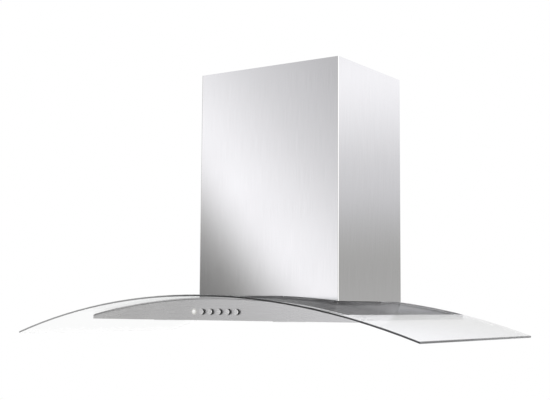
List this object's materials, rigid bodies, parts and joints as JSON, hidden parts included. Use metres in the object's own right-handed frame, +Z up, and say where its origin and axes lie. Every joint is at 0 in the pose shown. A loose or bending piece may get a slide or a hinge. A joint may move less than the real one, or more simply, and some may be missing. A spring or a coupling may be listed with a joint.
{
  "type": "curved glass range hood",
  "caption": "Wall-mounted range hood: arched glass canopy over a slim steel body with grease filters and push buttons, under a telescopic rectangular chimney.",
  "frame": {"origin": "middle of the hood's width, on the wall plane, level with the flat underside of the steel canopy", "axes": "+X to the right as seen from the front, +Y out of the back towards the wall, +Z up"},
  "size_m": [0.9, 0.49, 0.5437],
  "materials": {
    "glass_canopy": "clear tempered, polished edge",
    "glass_gasket": "matte black",
    "glass_clamp_bolts": "zinc plated",
    "glass_clamp_nuts": "zinc plated",
    "canopy_tray": "satin",
    "front_panel": "satin",
    "canopy_top_plate": "satin",
    "chimney_lower": "satin",
    "chimney_upper": "satin",
    "chimney_lower_screws": "zinc plated",
    "chimney_bracket": "galvanised",
    "chimney_bracket_screws": "zinc plated",
    "wall_rail": "galvanised",
    "motor_chassis": "galvanised",
    "chassis_cover": "galvanised",
    "chassis_screws": "zinc plated",
    "blower_casing_left": "galvanised",
    "blower_casing_right": "galvanised",
    "blower_casing_screws": "zinc plated",
    "impeller": "moulded",
    "impeller_nut": "zinc plated",
    "motor_can": "painted",
    "motor_endcap": "die cast",
    "motor_stator": "laminated",
    "stator_windings": "enamelled copper",
    "motor_rotor": "laminated",
    "motor_shaft": "zinc plated",
    "motor_bearings": "sintered bronze",
    "motor_spider": "galvanised",
    "motor_grommets": "matte",
    "motor_screws": "zinc plated",
    "run_capacitor": "moulded",
    "lamp_transformer": "moulded",
    "outlet_collar": "moulded",
    "flap_pin": "zinc plated",
    "flap_front": "moulded",
    "flap_rear": "moulded",
    "connection_box": "moulded",
    "connection_box_lid": "moulded",
    "cable_gland": "moulded",
    "switch_housing": "moulded",
    "button_springs": "zinc plated",
    "indicator_lens": "clear moulded",
    "lamp_lenses": "frosted",
    "lamp_bulbs": "clear capsule",
    "filter_frame_left": "satin",
    "filter_mesh_left": "expanded mesh pack",
    "filter_latch_left": "moulded",
    "latch_springs_left": "zinc plated",
    "lamp_housing_left": "pressed",
    "filter_frame_right": "satin",
    "filter_mesh_right": "expanded mesh pack",
    "filter_latch_right": "moulded",
    "latch_springs_right": "zinc plated",
    "lamp_housing_right": "pressed",
    "button_light": "satin metallised",
    "button_off": "satin metallised",
    "button_speed_1": "satin metallised",
    "button_speed_2": "satin metallised",
    "button_speed_3": "satin metallised"
  },
  "bodies": {
    "hood": {"glass_canopy": "glass_canopy", "glass_gasket": "glass_gasket", "glass_clamp_bolts": "glass_clamp_bolts", "glass_clamp_nuts": "glass_clamp_nuts", "canopy_tray": "canopy_tray", "front_panel": "front_panel", "canopy_top_plate": "canopy_top_plate", "chimney_lower": "chimney_lower", "chimney_lower_screws": "chimney_lower_screws", "wall_rail": "wall_rail", "motor_chassis": "motor_chassis", "chassis_cover": "chassis_cover", "chassis_screws": "chassis_screws", "blower_casing_left": "blower_casing_left", "blower_casing_right": "blower_casing_right", "blower_casing_screws": "blower_casing_screws", "motor_can": "motor_can", "motor_endcap": "motor_endcap", "motor_stator": "motor_stator", "stator_windings": "stator_windings", "motor_bearings": "motor_bearings", "motor_spider": "motor_spider", "motor_grommets": "motor_grommets", "motor_screws": "motor_screws", "run_capacitor": "run_capacitor", "lamp_transformer": "lamp_transformer", "outlet_collar": "outlet_collar", "flap_pin": "flap_pin", "connection_box": "connection_box", "connection_box_lid": "connection_box_lid", "cable_gland": "cable_gland", "switch_housing": "switch_housing", "button_springs": "button_springs", "indicator_lens": "indicator_lens", "lamp_lenses": "lamp_lenses", "lamp_bulbs": "lamp_bulbs", "lamp_housing_left": "lamp_housing_left", "lamp_housing_right": "lamp_housing_right"},
    "upper_chimney": {"chimney_upper": "chimney_upper", "chimney_bracket": "chimney_bracket", "chimney_bracket_screws": "chimney_bracket_screws"},
    "rotor": {"impeller": "impeller", "impeller_nut": "impeller_nut", "motor_rotor": "motor_rotor", "motor_shaft": "motor_shaft"},
    "flap_front": {"flap_front": "flap_front"},
    "flap_rear": {"flap_rear": "flap_rear"},
    "filter_left": {"filter_frame_left": "filter_frame_left", "filter_mesh_left": "filter_mesh_left", "latch_springs_left": "latch_springs_left"},
    "latch_left": {"filter_latch_left": "filter_latch_left"},
    "filter_right": {"filter_frame_right": "filter_frame_right", "filter_mesh_right": "filter_mesh_right", "latch_springs_right": "latch_springs_right"},
    "latch_right": {"filter_latch_right": "filter_latch_right"},
    "button_light": {"button_light": "button_light"},
    "button_off": {"button_off": "button_off"},
    "button_speed_1": {"button_speed_1": "button_speed_1"},
    "button_speed_2": {"button_speed_2": "button_speed_2"},
    "button_speed_3": {"button_speed_3": "button_speed_3"}
  },
  "joints": [
    {"name": "chimney_slide", "type": "slide", "parent": "hood", "child": "upper_chimney", "axis": [0, 0, 1], "range_m": [0, 0.3]},
    {"name": "rotor_spin", "type": "hinge", "parent": "hood", "child": "rotor", "pos_m": [0, -0.092, 0.165], "axis": [1, 0, 0], "continuous": true},
    {"name": "flap_front_swing", "type": "hinge", "parent": "hood", "child": "flap_front", "pos_m": [0, -0.152, 0.311], "axis": [-1, 0, 0], "range_deg": [0, 75]},
    {"name": "flap_rear_swing", "type": "hinge", "parent": "hood", "child": "flap_rear", "pos_m": [0, -0.152, 0.311], "axis": [1, 0, 0], "range_deg": [0, 75]},
    {"name": "filter_left_swing", "type": "hinge", "parent": "hood", "child": "filter_left", "pos_m": [-0.1355, -0.035, 0], "axis": [1, 0, 0], "range_deg": [0, 75]},
    {"name": "latch_left_slide", "type": "slide", "parent": "filter_left", "child": "latch_left", "axis": [0, 1, 0], "range_m": [0, 0.006], "stiffness_N_per_m": 300, "springref_m": -0.004, "deforming": ["latch_springs_left"]},
    {"name": "filter_right_swing", "type": "hinge", "parent": "hood", "child": "filter_right", "pos_m": [0.1355, -0.035, 0], "axis": [1, 0, 0], "range_deg": [0, 75]},
    {"name": "latch_right_slide", "type": "slide", "parent": "filter_right", "child": "latch_right", "axis": [0, 1, 0], "range_m": [0, 0.006], "stiffness_N_per_m": 300, "springref_m": -0.004, "deforming": ["latch_springs_right"]},
    {"name": "button_light_press", "type": "slide", "parent": "hood", "child": "button_light", "axis": [0, 1, 0], "range_m": [0, 0.003], "stiffness_N_per_m": 400, "springref_m": -0.003, "deforming": ["button_springs"]},
    {"name": "button_off_press", "type": "slide", "parent": "hood", "child": "button_off", "axis": [0, 1, 0], "range_m": [0, 0.003], "stiffness_N_per_m": 400, "springref_m": -0.003, "deforming": ["button_springs"]},
    {"name": "button_speed_1_press", "type": "slide", "parent": "hood", "child": "button_speed_1", "axis": [0, 1, 0], "range_m": [0, 0.003], "stiffness_N_per_m": 400, "springref_m": -0.003, "deforming": ["button_springs"]},
    {"name": "button_speed_2_press", "type": "slide", "parent": "hood", "child": "button_speed_2", "axis": [0, 1, 0], "range_m": [0, 0.003], "stiffness_N_per_m": 400, "springref_m": -0.003, "deforming": ["button_springs"]},
    {"name": "button_speed_3_press", "type": "slide", "parent": "hood", "child": "button_speed_3", "axis": [0, 1, 0], "range_m": [0, 0.003], "stiffness_N_per_m": 400, "springref_m": -0.003, "deforming": ["button_springs"]}
  ]
}
